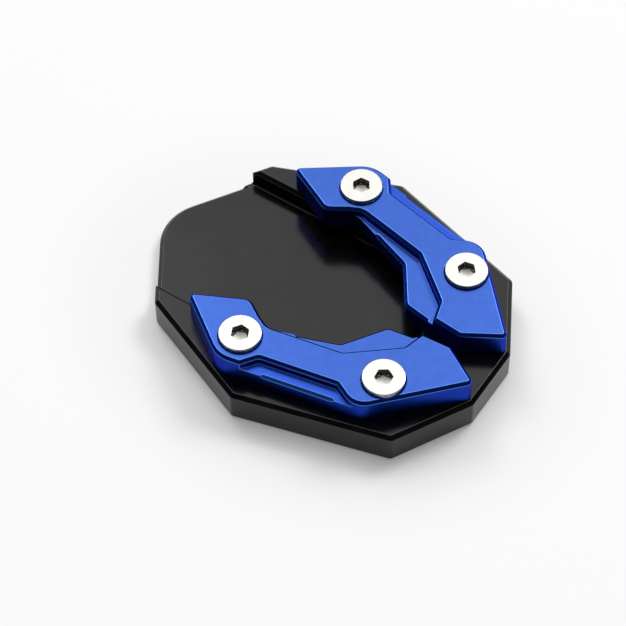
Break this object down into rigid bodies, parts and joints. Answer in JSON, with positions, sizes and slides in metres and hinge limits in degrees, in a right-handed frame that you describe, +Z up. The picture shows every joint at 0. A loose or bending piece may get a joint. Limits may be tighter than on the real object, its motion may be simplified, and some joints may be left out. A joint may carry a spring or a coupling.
{
  "type": "kickstand foot enlarger",
  "caption": "Flat side-stand foot enlarger: a black milled base plate with an open pocket, and mirrored blue clamps screwed on top to grip the stand's own foot.",
  "frame": {"origin": "under the middle of the base plate, on the ground that it stands on", "axes": "+X towards the front of the plate, where it is closed, with the pocket open towards -X; +Y left; +Z up. The two halves mirror each other across Y = 0"},
  "size_m": [0.1112, 0.0898, 0.0208],
  "materials": {
    "black_anodised": "fine bead-blasted and black anodised",
    "blue_anodised": "fine bead-blasted and blue anodised",
    "stainless": "bright stainless steel"
  },
  "bodies": {
    "root": {"base_plate": "black_anodised", "clamp_left": "blue_anodised", "clamp_right": "blue_anodised", "screw_front_left": "stainless", "screw_front_right": "stainless", "screw_rear_left": "stainless", "screw_rear_right": "stainless"}
  },
  "joints": []
}
